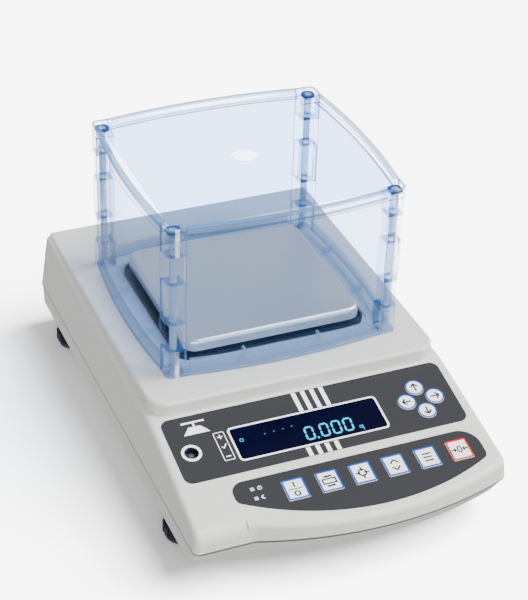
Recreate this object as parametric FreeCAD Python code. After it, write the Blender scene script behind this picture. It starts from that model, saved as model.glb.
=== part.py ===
import FreeCAD, Part
import math
import os

from FreeCAD import Placement, Rotation, Vector

# Top-pan laboratory balance with a lift-off draught shield, in millimetres.
# +X is the operator's right, +Y points to the back, +Z is up.
# The origin is on the bench, under the middle of the whole outline.

# Housing, in plan: a rectangle whose front bows out to the right of a small step.
HALF_W = 110.0
BACK_Y = 173.25
FRONT_Y = -158.75
BOW_Y = -173.25
BOW_CENTRE_X = 17.0
BOW_R = 264.0
STEP_X = -73.5
STEP_R = 14.0

# Upright corners of the housing.
FRONT_RIGHT_R = 8.0
BACK_R = 4.5
LOWER_LEFT_R = 5.0

# Housing, in height.
BASE_Z = 17.0
PART_Z = 34.0
PART_GAP = 0.8
PLATEAU_Z = 78.5
WALL = 2.5
DRAFT = 0.1
CREASE_R = 4.0
NOSE_R = 9.0
SHOULDER_BACK_Z = 77.6
RIDGE_R = 60.0
BASE_EDGE_R = 2.0
UNDERCUT = 10.5
LIP_STEP = 0.6
TONGUE_INSET = 3.0
TONGUE_T = 1.4
TONGUE_Z = (32.0, 36.5)

# Plateau that carries the pan and the draught shield.
PLATEAU_HALF_W = 103.3
PLATEAU_FRONT_Y = -61.5
PLATEAU_BACK_Y = 169.6
PLATEAU_FRONT_R = 14.0
PLATEAU_BACK_R = 4.0
PLATEAU_EDGE_R = 2.2

# Control deck: a plane tilted down to the front. On it x runs to the right,
# s runs down the slope from the display film's top edge, n is the outward normal.
DECK_Y = -64.9
DECK_Z = 68.2
DECK_TILT = 12.6
FILM_T = 0.4

# Display film and what shows through it (x, s).
FILM_HALF_W = 100.0
FILM_LENGTH = 54.0
FILM_R = 6.0
WINDOW_X = (-59.5, 45.8)
WINDOW_S = (17.6, 45.4)
WINDOW_R = 3.0
LEVEL_AT = (-88.3, 30.5)
LEVEL_R = 5.6
ARROWS_AT = (75.7, 28.9)
ARROW_STEP = 10.4
ARROW_R = 6.4

# Keypad film: straight top, rounded ends, lower edge an arc.
PAD_X = (-74.3, 98.4)
PAD_TOP_S = 61.0
PAD_ARC_X = 21.0
PAD_ARC_S = 102.8
PAD_ARC_R = 183.0
PAD_CORNERS = {"top_left": 8.5, "top_right": 14.0, "bottom": 5.5}
KEY_W = 14.8
KEY_L = 16.3
KEY_S = 76.4
KEY_FIRST_X = -34.7
KEY_PITCH = 23.3
KEY_R = 1.0
LAMP_X = -61.4
LAMP_S = (68.8, 76.4)
LAMP_SIZE = 2.6
SQUARE_KEYS = ["on_off_key", "print_key", "adjust_key", "select_key", "function_key", "tare_key"]
ARROW_KEYS = {"up_key": (0, -1), "right_key": (1, 0), "down_key": (0, 1), "left_key": (-1, 0)}

# Keys in depth, along the deck's normal.
KEY_TOP_N = 0.9
KEY_GAP = 0.3
FLANGE_N = (-4.1, -2.9)
FLANGE_OVER = 0.55
STEM_R = 2.0
STEM_N = -5.5
DOME_N = (-8.4, -6.2)
DOME_R = 3.4
BOARD_N = (-10.0, -8.4)

# Pan and its support.
PAN_X = 0.0
PAN_Y = 42.0
PAN_HALF = (65.0, 62.0)
PAN_TOP_Z = 92.8
PAN_SKIRT = 8.2
PAN_T = 1.0
PAN_CORNER_R = 10.0
PAN_EDGE_R = 3.0
SUPPORT_Z = (86.4, 89.4)
ARM_REACH = (46.0, 44.0)
ARM_W = 13.0
HUB_R = 22.0
BUFFER_R = 5.0
POST_R = 7.0
POST_BOTTOM_Z = 62.7
SEAT_GAP = 0.1
STOP_GAP = 0.6
STOP_R = 3.0
WELL_R = 24.0
TRAY_HALF = (69.0, 63.5)
TRAY_T = 1.2
TRAY_RIM = 3.2
COLLAR_R = (17.0, 18.5)
COLLAR_H = 4.2

# Draught shield: four bowed panels hinged on corner pins, standing on a base frame.
SHIELD_HALF = (84.0, 78.3)
SHIELD_Z = (78.6, 192.4)
BLOCK = 13.0
BLOCK_R = 5.0
BOW_OUT = (4.2, 5.4)
PANEL_T = 2.4
RIM_T = 4.0
RIM_H = 7.0
KNUCKLES = [0.0, 20.6, 42.0, 72.4, 93.6, 113.8]
KNUCKLE_GAP = 0.4
INNER_BLOCK = 11.0
PIN_R = 2.5
POST_TOP_DROP = 4.2
POCKET_WALL = 1.6
CUSHION = 9.2
CUSHION_R = 3.2
CUSHION_T = 1.6
PANEL_GAP = 0.6
LEDGE_HALF = (71.0, 65.5)
LEDGE_R = 12.0
LEDGE_T = 2.4
UPSTAND_H = 11.0
UPSTAND_T = 1.8
GUSSET_AT = 27.0
GUSSET_T = 1.6
LID_HALF = (78.6, 73.2)
LID_T = 2.6
LID_R = 4.0
FINGER_R = 10.0

# Levelling feet.
FEET_X = 95.5
FEET_Y = (-98.0, 136.8)
PAD_R = 11.0
PAD_H = 3.0
WHEEL_R = 13.0
WHEEL_Z = (3.3, 12.0)
GRIPS = 12
GRIP_R = 1.6
STUD_R = 4.0
STUD_TOP_Z = 31.0
SWIVEL_R = 2.6
SWIVEL_Z = 8.0
SWIVEL_END_GAP = 0.3
RUN_GAP = 0.05
BOSS_R = 8.5
BOSS_TOP_Z = 33.0

# Case screws and their columns.
COLUMNS = [(-97.0, 155.0), (97.0, 155.0), (-98.0, -122.0), (98.0, -122.0)]
COLUMN_R = 4.5
SCREW_R = 1.5
SCREW_HEAD_R = 3.0
SCREW_HEAD_Z = (27.0, 29.0)
SCREW_TOP_Z = 44.0

# Weighing cell, boards and ports.
FLOOR_Z = BASE_Z + WALL
CELL_BASE = (-42.0, 42.0, 26.0, 150.0)
CELL_BASE_Z = (24.0, 31.0)
CELL = (-17.0, 17.0, 28.0, 140.0)
CELL_Z = (36.0, 62.0)
CELL_FOOT_Y = 108.0
CELL_SCREWS = [(-36.0, 32.0), (36.0, 32.0), (-36.0, 144.0), (36.0, 144.0)]
CELL_SCREW_R = 2.0
MAIN_BOARD = (-98.0, -50.0, -40.0, 110.0)
MAIN_BOARD_Z = (27.0, 28.6)
STANDOFF_R = 3.0
POWER_X = -74.0
DATA_X = 62.0
PORT_Z = 46.0
HOOK_R = 12.0


def box(x0, x1, y0, y1, z0, z1):
    """Axis-aligned block from its limits."""
    return Part.makeBox(x1 - x0, y1 - y0, z1 - z0, Vector(x0, y0, z0))


def cylinder(x, y, z0, z1, r):
    """Upright cylinder."""
    return Part.makeCylinder(r, z1 - z0, Vector(x, y, z0))


def fillet(shape, r, wanted):
    """Round the edges that the test picks."""
    return shape.makeFillet(r, [e for e in shape.Edges if wanted(e)])


def upright(edge):
    """True for an edge that runs mostly up and down."""
    a, b = edge.Vertexes[0].Point, edge.Vertexes[-1].Point
    return abs(a.z - b.z) > 0.8 * a.distanceToPoint(b) and a.distanceToPoint(b) > 0.1


def level_at(z):
    """Test for edges that lie flat at height z."""
    return lambda e: abs(e.BoundBox.ZMin - z) < 0.01 and abs(e.BoundBox.ZMax - z) < 0.01


def rounded_box(x0, x1, y0, y1, z0, z1, r):
    """Block with its upright edges rounded."""
    return fillet(box(x0, x1, y0, y1, z0, z1), r, upright)


def join(shapes):
    """Fuse a list of shapes into one clean solid."""
    return shapes[0].multiFuse(shapes[1:]).removeSplitter()


def on_deck(shape):
    """Carry a shape drawn on the flat (y = -s, z = n) onto the control deck."""
    moved = shape.copy()
    moved.Placement = Placement(Vector(0, DECK_Y, DECK_Z), Rotation(Vector(1, 0, 0), DECK_TILT))
    return moved


def deck_block(x0, x1, s0, s1, n0, n1, r):
    """Flat block in deck coordinates with rounded upright edges."""
    return rounded_box(x0, x1, -s1, -s0, n0, n1, r)


def deck_plane_z(y, drop=0.0):
    """Height of the deck plane at y, lowered by drop along its normal."""
    tilt = math.radians(DECK_TILT)
    return DECK_Z + (y - DECK_Y) * math.tan(tilt) - drop / math.cos(tilt)


def save(name, shape):
    """Write one node; refuse anything that is not made of valid closed solids."""
    if not shape.Solids or not shape.isValid():
        raise RuntimeError(name + " is not a valid solid")
    shape.exportStep(os.path.join("parts", name + ".step"))
    limits = shape.BoundBox
    print("%-18s %2d solid  %9.0f mm3  z %6.1f to %6.1f" % (
        name, len(shape.Solids), shape.Volume, limits.ZMin, limits.ZMax))


# ---------------------------------------------------------------- housing

def outline(z, inset, undercut=0.0):
    """Plan of the housing at height z, every side moved in by inset, the front by undercut more."""
    x = HALF_W - inset
    back = BACK_Y - inset
    front = FRONT_Y + inset + undercut
    tip = BOW_Y + inset + undercut
    r = BOW_R - inset
    start = BOW_CENTRE_X - math.sqrt(r * r - (r - (front - tip)) ** 2)
    end_y = tip + r - math.sqrt(r * r - (x - BOW_CENTRE_X) ** 2)
    back_left = Vector(-x, back, z)
    front_left = Vector(-x, front, z)
    step = Vector(start, front, z)
    front_right = Vector(x, end_y, z)
    back_right = Vector(x, back, z)
    return Part.Wire([
        Part.makeLine(back_left, front_left),
        Part.makeLine(front_left, step),
        Part.Arc(step, Vector(BOW_CENTRE_X, tip, z), front_right).toShape(),
        Part.makeLine(front_right, back_right),
        Part.makeLine(back_right, back_left),
    ])


def tapered(z0, z1, inset0, inset1, undercut0=0.0, undercut1=0.0):
    """Block between two plans of the housing."""
    wires = [outline(z0, inset0, undercut0), outline(z1, inset1, undercut1)]
    return Part.makeLoft(wires, True, True)


def at_front_left(e):
    """True for the housing's upright front left corner."""
    limits = e.BoundBox
    return upright(e) and limits.XMax < STEP_X - BOW_R / 10 and limits.YMax < 0


def round_corners(block):
    """Round the upright corners except the front left one, and soften the step in the front."""
    def corner(e, low_x, high_x, back):
        limits = e.BoundBox
        return upright(e) and low_x < limits.XMin and limits.XMax < high_x and (limits.YMin > 0) == back

    block = fillet(block, BACK_R, lambda e: corner(e, -2 * HALF_W, 2 * HALF_W, True))
    block = fillet(block, FRONT_RIGHT_R, lambda e: corner(e, 0.0, 2 * HALF_W, False))
    return fillet(block, STEP_R, lambda e: corner(e, STEP_X - BOW_R / 10, 0.0, False))


def under_roof(drop):
    """Prism under the shoulders and the control deck, lowered by drop."""
    back = BACK_Y + WALL
    front = BOW_Y - WALL
    ridge_z = deck_plane_z(PLATEAU_FRONT_Y, drop)
    points = [
        Vector(-HALF_W - WALL, back, PART_Z - WALL),
        Vector(-HALF_W - WALL, back, SHOULDER_BACK_Z - drop),
        Vector(-HALF_W - WALL, PLATEAU_FRONT_Y, ridge_z),
        Vector(-HALF_W - WALL, front, deck_plane_z(front, drop)),
        Vector(-HALF_W - WALL, front, PART_Z - WALL),
    ]
    face = Part.Face(Part.makePolygon(points + points[:1]))
    prism = face.extrude(Vector(2 * (HALF_W + WALL), 0, 0))

    def ridge(e):
        return e.BoundBox.YLength < 0.01 and e.BoundBox.ZLength < 0.01 and \
            abs(e.BoundBox.YMin - PLATEAU_FRONT_Y) < 0.01

    return fillet(prism, RIDGE_R, ridge)


def nose_cutter(inset):
    """Waste that turns the sharp front edge left of the step into a wide round nose."""
    tilt = math.radians(DECK_TILT)
    lean = math.atan(DRAFT)
    r = NOSE_R - inset
    wall_y = FRONT_Y + inset - DRAFT * PART_Z
    deck_z = deck_plane_z(wall_y, inset)
    corner_z = deck_z / (1 - DRAFT * math.tan(tilt))
    corner = Vector(0, wall_y + DRAFT * corner_z, corner_z)
    down = Vector(0, -math.sin(lean), -math.cos(lean))
    along = Vector(0, math.cos(tilt), math.sin(tilt))
    half = math.acos(down.dot(along)) / 2
    reach = r / math.tan(half)
    middle = (down + along).normalize()
    deepest = corner + middle * (r / math.sin(half) - r)
    start, end = corner + down * reach, corner + along * reach
    outward = middle * (-2 * r)
    wire = Part.Wire([
        Part.Arc(start, deepest, end).toShape(),
        Part.makeLine(end, end + outward),
        Part.makeLine(end + outward, start + outward),
        Part.makeLine(start + outward, start),
    ])
    waste = Part.Face(wire).extrude(Vector(STEP_X + 2 * HALF_W, 0, 0))
    waste.translate(Vector(-2 * HALF_W, 0, 0))
    return waste


def plateau(inset):
    """Raised rear block, moved in by inset."""
    x = PLATEAU_HALF_W - inset
    block = box(-x, x, PLATEAU_FRONT_Y + inset, PLATEAU_BACK_Y - inset, PART_Z + WALL, PLATEAU_Z - inset)
    block = fillet(block, PLATEAU_FRONT_R - inset, lambda e: upright(e) and e.BoundBox.YMax < 0)
    return fillet(block, PLATEAU_BACK_R - inset, lambda e: upright(e) and e.BoundBox.YMin > 0)


def upper_skin():
    """Outside form of the upper housing."""
    height = PLATEAU_Z - PART_Z
    block = tapered(PART_Z, PLATEAU_Z, 0.0, DRAFT * height)
    block = round_corners(block.common(under_roof(0.0))).cut(nose_cutter(0.0))

    def crease(e):
        limits = e.BoundBox
        crosses = limits.XLength > BLOCK and limits.YLength < 0.01 and limits.YMin < 0
        at_step = limits.XMin > STEP_X - BLOCK and limits.XMax < STEP_X + 0.01
        top = limits.ZMin > PART_Z + 1.0 and not upright(e) and not crosses and not at_step
        return top or at_front_left(e)

    block = fillet(block, CREASE_R, crease)
    top = fillet(plateau(0.0), PLATEAU_EDGE_R, level_at(PLATEAU_Z))
    return join([block, top])


def upper_cavity():
    """Hollow of the upper housing."""
    height = PLATEAU_Z - PART_Z
    block = tapered(PART_Z, PLATEAU_Z, WALL, WALL + DRAFT * height)
    return join([block.common(under_roof(WALL)).cut(nose_cutter(WALL)), plateau(WALL)])


def key_places():
    """Name, x, s of every key."""
    places = [(name, KEY_FIRST_X + i * KEY_PITCH, KEY_S) for i, name in enumerate(SQUARE_KEYS)]
    for name, (dx, ds) in ARROW_KEYS.items():
        places.append((name, ARROWS_AT[0] + dx * ARROW_STEP, ARROWS_AT[1] + ds * ARROW_STEP))
    return places


def key_shape(name, x, s, n0, n1, grow):
    """Square or round prism of a key, its outline moved out by grow."""
    if name in ARROW_KEYS:
        return cylinder(x, -s, n0, n1, ARROW_R + grow)
    return deck_block(x - KEY_W / 2 - grow, x + KEY_W / 2 + grow, s - KEY_L / 2 - grow,
                      s + KEY_L / 2 + grow, n0, n1, KEY_R + grow)


def deck_cuts(n0, n1):
    """Everything that passes through the deck between two depths."""
    cuts = [key_shape(name, x, s, n0, n1, KEY_GAP) for name, x, s in key_places()]
    cuts.append(deck_block(*WINDOW_X, *WINDOW_S, n0, n1, WINDOW_R))
    cuts.append(cylinder(LEVEL_AT[0], -LEVEL_AT[1], n0, n1, LEVEL_R))
    half = LAMP_SIZE / 2
    for s in LAMP_S:
        cuts.append(box(LAMP_X - half, LAMP_X + half, -s - half, -s + half, n0, n1))
    return cuts


def upper_housing():
    """Upper shell with its columns, deck cut-outs, pan well and rear port openings."""
    shell = upper_skin().cut(upper_cavity())
    columns = []
    for x, y in COLUMNS:
        columns.append(cylinder(x, y, PART_Z + 0.5, PLATEAU_Z, COLUMN_R))
    columns = Part.makeCompound(columns).common(upper_skin())
    shell = join([shell] + columns.Solids)
    holes = [cylinder(x, y, PART_Z, SCREW_TOP_Z + 1.0, SCREW_R) for x, y in COLUMNS]
    holes.append(cylinder(PAN_X, PAN_Y, PLATEAU_Z - 2 * WALL, PLATEAU_Z + 1.0, WELL_R))
    holes += [on_deck(cut) for cut in deck_cuts(-2 * WALL, 1.0)]
    holes += [power_opening(), data_opening()]
    return shell.cut(holes)


def lower_housing():
    """Lower tray: undercut front, tongue, bosses and stand-offs."""
    top = PART_Z - PART_GAP
    outer = tapered(BASE_Z, top, 2 * LIP_STEP, LIP_STEP, UNDERCUT, 0.0)
    outer = fillet(round_corners(outer), LOWER_LEFT_R, at_front_left)
    outer = fillet(outer, BASE_EDGE_R, level_at(BASE_Z))
    rise = (FLOOR_Z - BASE_Z) / (top - BASE_Z)
    inner = tapered(FLOOR_Z, top, WALL + LIP_STEP * 2, WALL + LIP_STEP, UNDERCUT * (1 - rise), 0.0)
    shell = outer.cut(inner)
    tongue = tapered(*TONGUE_Z, TONGUE_INSET, TONGUE_INSET)
    tongue = tongue.cut(tapered(*TONGUE_Z, TONGUE_INSET + TONGUE_T, TONGUE_INSET + TONGUE_T))
    solids = [shell, tongue]
    for x, y in feet_places().values():
        solids.append(cylinder(x, y, BASE_Z, BOSS_TOP_Z, BOSS_R))
    for x, y in COLUMNS:
        solids.append(cylinder(x, y, BASE_Z, PART_Z - PART_GAP, COLUMN_R + 1.0))
    for x, y in CELL_SCREWS:
        solids.append(cylinder(x, y, BASE_Z, CELL_BASE_Z[0], CELL_SCREW_R * 2.5))
    for x, y in board_corners():
        solids.append(cylinder(x, y, BASE_Z, MAIN_BOARD_Z[0], STANDOFF_R))
    tray = join(solids)
    holes = [cylinder(PAN_X, PAN_Y, BASE_Z - 1.0, FLOOR_Z + 1.0, HOOK_R)]
    for x, y in feet_places().values():
        holes.append(cylinder(x, y, BASE_Z - 1.0, BOSS_TOP_Z + 1.0, STUD_R + RUN_GAP))
    for x, y in COLUMNS:
        holes.append(cylinder(x, y, BASE_Z - 1.0, SCREW_HEAD_Z[1], SCREW_HEAD_R + 0.4))
        holes.append(cylinder(x, y, BASE_Z, PART_Z, SCREW_R))
    for x, y in CELL_SCREWS:
        holes.append(cylinder(x, y, BASE_Z + 1.0, CELL_BASE_Z[0], CELL_SCREW_R))
    return tray.cut(holes)


def case_screws():
    """Four screws from below into the columns."""
    screws = []
    for x, y in COLUMNS:
        head = cylinder(x, y, *SCREW_HEAD_Z, SCREW_HEAD_R)
        slot = box(x - 0.5, x + 0.5, y - 2.0, y + 2.0, SCREW_HEAD_Z[0], SCREW_HEAD_Z[0] + 0.8)
        cross = box(x - 2.0, x + 2.0, y - 0.5, y + 0.5, SCREW_HEAD_Z[0], SCREW_HEAD_Z[0] + 0.8)
        shank = cylinder(x, y, SCREW_HEAD_Z[1], SCREW_TOP_Z, SCREW_R)
        screws.append(join([head, shank]).cut([slot, cross]))
    return Part.makeCompound(screws)


# ---------------------------------------------------------------- deck pieces

def display_film():
    """Dark sheet round the window, the level and the arrow keys."""
    sheet = deck_block(-FILM_HALF_W, FILM_HALF_W, 0.0, FILM_LENGTH, 0.0, FILM_T, FILM_R)
    return on_deck(sheet.cut(deck_cuts(-1.0, 1.0)))


def pad_arc_s(x):
    """Distance down the slope of the keypad film's lower edge at x."""
    return PAD_ARC_S - PAD_ARC_R + math.sqrt(PAD_ARC_R ** 2 - (x - PAD_ARC_X) ** 2)


def keypad_film():
    """Dark sheet round the square keys and the lamps."""
    left, right = PAD_X
    corners = [Vector(left, -PAD_TOP_S, 0), Vector(right, -PAD_TOP_S, 0),
               Vector(right, -pad_arc_s(right), 0), Vector(left, -pad_arc_s(left), 0)]
    middle = Vector(PAD_ARC_X, -PAD_ARC_S, 0)
    wire = Part.Wire([
        Part.makeLine(corners[0], corners[1]),
        Part.makeLine(corners[1], corners[2]),
        Part.Arc(corners[2], middle, corners[3]).toShape(),
        Part.makeLine(corners[3], corners[0]),
    ])
    sheet = Part.Face(wire).extrude(Vector(0, 0, FILM_T))
    radii = list(zip(corners, [PAD_CORNERS["top_left"], PAD_CORNERS["top_right"],
                               PAD_CORNERS["bottom"], PAD_CORNERS["bottom"]]))
    for corner, r in radii:
        sheet = fillet(sheet, r, lambda e, c=corner: upright(e) and
                       e.Vertexes[0].Point.sub(c).Length < FILM_T + 0.01)
    return on_deck(sheet.cut(deck_cuts(-1.0, 1.0)))


def display_window():
    """Clear block that fills the display opening flush with the film."""
    return on_deck(deck_block(*WINDOW_X, *WINDOW_S, -WALL, FILM_T, WINDOW_R))


def display_tube():
    """Sealed glass envelope of the numeric display, with its pin rows on the board."""
    x0, x1 = WINDOW_X
    s0, s1 = WINDOW_S
    body = deck_block(x0 + 1.5, x1 - 1.5, s0 + 1.0, s1 - 1.0, BOARD_N[1] + 1.2, -WALL, 1.0)
    feet = [box(x0 + 4.0, x1 - 4.0, -s - 0.6, -s + 0.6, BOARD_N[1], BOARD_N[1] + 1.2)
            for s in (s0 + 3.0, s1 - 3.0)]
    return on_deck(join([body] + feet))


def control_board():
    """Circuit board behind the display and all ten keys."""
    upper = deck_block(-78.0, 92.0, 6.0, 60.0, *BOARD_N, 2.0)
    lower = deck_block(-70.0, 92.0, 50.0, 90.0, *BOARD_N, 2.0)
    return on_deck(join([upper, lower]))


def key_domes():
    """Ten switch domes on the control board."""
    domes = []
    for _, x, s in key_places():
        base = cylinder(x, -s, DOME_N[0], DOME_N[1] - 0.8, DOME_R)
        cap = Part.makeCone(DOME_R, DOME_R / 2, 0.8, Vector(x, -s, DOME_N[1] - 0.8))
        domes.append(join([base, cap]))
    return on_deck(Part.makeCompound(domes))


def status_lamps():
    """Two small square lamps that stand on the board and end flush with the film."""
    half = LAMP_SIZE / 2
    lamps = [box(LAMP_X - half, LAMP_X + half, -s - half, -s + half, BOARD_N[1], FILM_T) for s in LAMP_S]
    return on_deck(Part.makeCompound(lamps))


def level_cup():
    """Cup that holds the bubble level below the film."""
    x, s = LEVEL_AT
    cup = cylinder(x, -s, -11.0, 0.0, LEVEL_R)
    return on_deck(cup.cut(cylinder(x, -s, -9.0, 1.0, LEVEL_R - 0.9)))


def level_vial():
    """Round glass vial of the bubble level."""
    x, s = LEVEL_AT
    vial = cylinder(x, -s, -9.0, -3.0, LEVEL_R - 0.9)
    return on_deck(fillet(vial, 0.8, level_at(-3.0)))


def level_bezel():
    """White ring round the level's opening."""
    x, s = LEVEL_AT
    ring = cylinder(x, -s, FILM_T, FILM_T + 0.4, LEVEL_R + 1.1)
    return on_deck(ring.cut(cylinder(x, -s, 0.0, 2.0, LEVEL_R - 0.7)))


def key(name, x, s):
    """Key cap with the flange that keeps it in the deck and the stem over its dome."""
    cap = key_shape(name, x, s, FLANGE_N[1], KEY_TOP_N, 0.0)
    cap = fillet(cap, 0.25, level_at(KEY_TOP_N))
    flange = key_shape(name, x, s, *FLANGE_N, FLANGE_OVER)
    stem = cylinder(x, -s, STEM_N, FLANGE_N[0], STEM_R)
    return on_deck(join([cap, flange, stem]))


# ---------------------------------------------------------------- inside the housing

def cell_base():
    """Cast base of the weighing cell with the block that clamps its fixed end."""
    plate = rounded_box(*CELL_BASE, *CELL_BASE_Z, 6.0)
    foot = box(CELL[0], CELL[1], CELL_FOOT_Y, CELL[3], CELL_BASE_Z[1], CELL_Z[0])
    holes = [cylinder(x, y, CELL_BASE_Z[0], CELL_BASE_Z[1], CELL_SCREW_R) for x, y in CELL_SCREWS]
    holes.append(cylinder(PAN_X, PAN_Y, CELL_BASE_Z[0], CELL_BASE_Z[1], HOOK_R))
    return join([plate, foot]).cut(holes)


def load_cell():
    """Bending block: two slots joined by round hinges leave a parallelogram that the load bends."""
    x0, x1, y0, y1 = CELL
    z0, z1 = CELL_Z
    block = box(x0, x1, y0, y1, z0, z1)
    middle = (z0 + z1) / 2
    cuts = [box(x0, x1, y0 + 24.0, CELL_FOOT_Y - 8.0, middle - 7.0, middle + 7.0)]
    for y in (y0 + 26.0, CELL_FOOT_Y - 10.0):
        bore = Part.makeCylinder(9.5, x1 - x0, Vector(x0, y, middle), Vector(1, 0, 0))
        cuts.append(bore)
    return block.cut(cuts)


def cell_screws():
    """Four screws that hold the cell's base to the tray."""
    screws = []
    for x, y in CELL_SCREWS:
        head = cylinder(x, y, CELL_BASE_Z[1], CELL_BASE_Z[1] + 3.0, CELL_SCREW_R * 1.9)
        socket = cylinder(x, y, CELL_BASE_Z[1] + 1.2, CELL_BASE_Z[1] + 4.0, CELL_SCREW_R * 0.8)
        shank = cylinder(x, y, BASE_Z + 1.5, CELL_BASE_Z[1], CELL_SCREW_R)
        screws.append(join([head, shank]).cut(socket))
    return Part.makeCompound(screws)


def board_corners():
    """Stand-off places of the main board."""
    x0, x1, y0, y1 = MAIN_BOARD
    return [(x, y) for x in (x0 + 6.0, x1 - 6.0) for y in (y0 + 6.0, y1 - 6.0)]


def main_board():
    """Main circuit board on its stand-offs."""
    return box(*MAIN_BOARD, *MAIN_BOARD_Z)


def board_parts():
    """Shield can, converter and capacitors on the main board."""
    x0, x1, y0, y1 = MAIN_BOARD
    top = MAIN_BOARD_Z[1]
    parts = [
        rounded_box(x0 + 6.0, x1 - 6.0, y0 + 14.0, y0 + 46.0, top, top + 7.0, 1.5),
        box(x0 + 14.0, x0 + 30.0, y0 + 60.0, y0 + 76.0, top, top + 2.0),
        cylinder(x0 + 14.0, y1 - 24.0, top, top + 14.0, 6.0),
        cylinder(x0 + 30.0, y1 - 24.0, top, top + 14.0, 6.0),
        box(x0 + 10.0, x1 - 10.0, y1 - 50.0, y1 - 40.0, top, top + 9.0),
    ]
    return Part.makeCompound(parts)


def rear_y(z, depth):
    """Y of the back wall's outside at height z, moved in by depth."""
    return BACK_Y - DRAFT * (z - PART_Z) - depth


def rear_cylinder(x, r, depth0, depth1):
    """Cylinder along Y at the ports' height between two depths behind the back wall."""
    y0 = rear_y(PORT_Z, depth1)
    return Part.makeCylinder(r, depth1 - depth0, Vector(x, y0, PORT_Z), Vector(0, 1, 0))


def power_opening():
    """Round hole for the power inlet."""
    return rear_cylinder(POWER_X, 5.5, -2.0, 3 * WALL)


def power_inlet():
    """Barrel socket for the mains adapter: body behind the wall, centre pin inside."""
    barrel = rear_cylinder(POWER_X, 5.5, 1.2, 14.0)
    body = box(POWER_X - 7.0, POWER_X + 7.0, rear_y(PORT_Z, 16.0), rear_y(PORT_Z, WALL + 0.8),
               PORT_Z - 7.0, PORT_Z + 7.0)
    hollow = rear_cylinder(POWER_X, 3.4, 0.0, 11.0)
    pin = rear_cylinder(POWER_X, 1.1, 3.0, 12.0)
    return join([join([barrel, body]).cut(hollow), pin])


def data_opening():
    """Opening for the data port."""
    return box(DATA_X - 9.4, DATA_X + 9.4, rear_y(PORT_Z, 3 * WALL), BACK_Y + 1.0,
               PORT_Z - 5.4, PORT_Z + 5.4)


def data_port():
    """Nine-pole socket: flange behind the wall, shell through it, nine contact holes."""
    shell = box(DATA_X - 8.2, DATA_X + 8.2, rear_y(PORT_Z, 14.0), rear_y(PORT_Z, 1.2),
                PORT_Z - 4.2, PORT_Z + 4.2)
    flange = box(DATA_X - 15.0, DATA_X + 15.0, rear_y(PORT_Z, WALL + 2.4), rear_y(PORT_Z, WALL + 0.9),
                 PORT_Z - 6.0, PORT_Z + 6.0)
    holes = []
    for count, rise in ((5, 1.4), (4, -1.4)):
        for i in range(count):
            x = DATA_X + (i - (count - 1) / 2) * 2.77
            start = Vector(x, rear_y(PORT_Z, 7.0), PORT_Z + rise)
            holes.append(Part.makeCylinder(0.6, 7.0, start, Vector(0, 1, 0)))
    return join([shell, flange]).cut(holes)


def hook_cover():
    """Plug of the opening through which a load can hang under the cell."""
    plug = cylinder(PAN_X, PAN_Y, BASE_Z + 0.3, FLOOR_Z, HOOK_R)
    slot = box(PAN_X - 7.0, PAN_X + 7.0, PAN_Y - 0.8, PAN_Y + 0.8, BASE_Z, BASE_Z + 1.3)
    return plug.cut(slot)


# ---------------------------------------------------------------- pan

def arm_ends():
    """Ends of the four arms of the pan support."""
    return [(PAN_X + i * ARM_REACH[0], PAN_Y + j * ARM_REACH[1]) for i in (-1, 1) for j in (-1, 1)]


def weighing_pan():
    """Sheet-steel pan: rounded corners, rolled edge and skirt."""
    hx, hy = PAN_HALF
    bottom = PAN_TOP_Z - PAN_SKIRT

    def form(inset):
        block = rounded_box(PAN_X - hx + inset, PAN_X + hx - inset, PAN_Y - hy + inset,
                            PAN_Y + hy - inset, bottom, PAN_TOP_Z - inset, PAN_CORNER_R - inset)
        return fillet(block, PAN_EDGE_R - inset, level_at(PAN_TOP_Z - inset))

    return form(0.0).cut(form(PAN_T))


def pan_support():
    """Hub with four arms."""
    solids = [cylinder(PAN_X, PAN_Y, *SUPPORT_Z, HUB_R)]
    for x, y in arm_ends():
        length = math.hypot(x - PAN_X, y - PAN_Y)
        arm = box(0.0, length, -ARM_W / 2, ARM_W / 2, *SUPPORT_Z)
        turn = Rotation(Vector(0, 0, 1), math.degrees(math.atan2(y - PAN_Y, x - PAN_X)))
        arm.Placement = Placement(Vector(PAN_X, PAN_Y, 0), turn)
        solids += [arm, cylinder(x, y, *SUPPORT_Z, ARM_W / 2)]
    return join(solids)


def pan_buffers():
    """Rubber cones that carry the pan."""
    top = PAN_TOP_Z - PAN_T - SEAT_GAP
    height = top - SUPPORT_Z[1]
    cones = [Part.makeCone(BUFFER_R, BUFFER_R - 1.5, height, Vector(x, y, SUPPORT_Z[1]))
             for x, y in arm_ends()]
    return Part.makeCompound(cones)


def support_post():
    """Post from the pan support down to the free end of the weighing cell."""
    shaft = cylinder(PAN_X, PAN_Y, POST_BOTTOM_Z, SUPPORT_Z[0], POST_R)
    foot = cylinder(PAN_X, PAN_Y, POST_BOTTOM_Z, POST_BOTTOM_Z + 3.0, POST_R + 4.0)
    return join([shaft, foot])


def pan_tray():
    """Black tray under the pan: rim all round, dust collar round the post."""
    hx, hy = TRAY_HALF
    z0 = PLATEAU_Z
    outer = rounded_box(PAN_X - hx, PAN_X + hx, PAN_Y - hy, PAN_Y + hy, z0, z0 + TRAY_RIM, LEDGE_R)
    inner = rounded_box(PAN_X - hx + 1.5, PAN_X + hx - 1.5, PAN_Y - hy + 1.5, PAN_Y + hy - 1.5,
                        z0 + TRAY_T, z0 + 2 * TRAY_RIM, LEDGE_R - 1.5)
    collar = cylinder(PAN_X, PAN_Y, z0, z0 + COLLAR_H, COLLAR_R[1])
    tray = join([outer.cut(inner), collar])
    return tray.cut(cylinder(PAN_X, PAN_Y, z0 - 1.0, z0 + 2 * COLLAR_H, COLLAR_R[0]))


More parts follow.
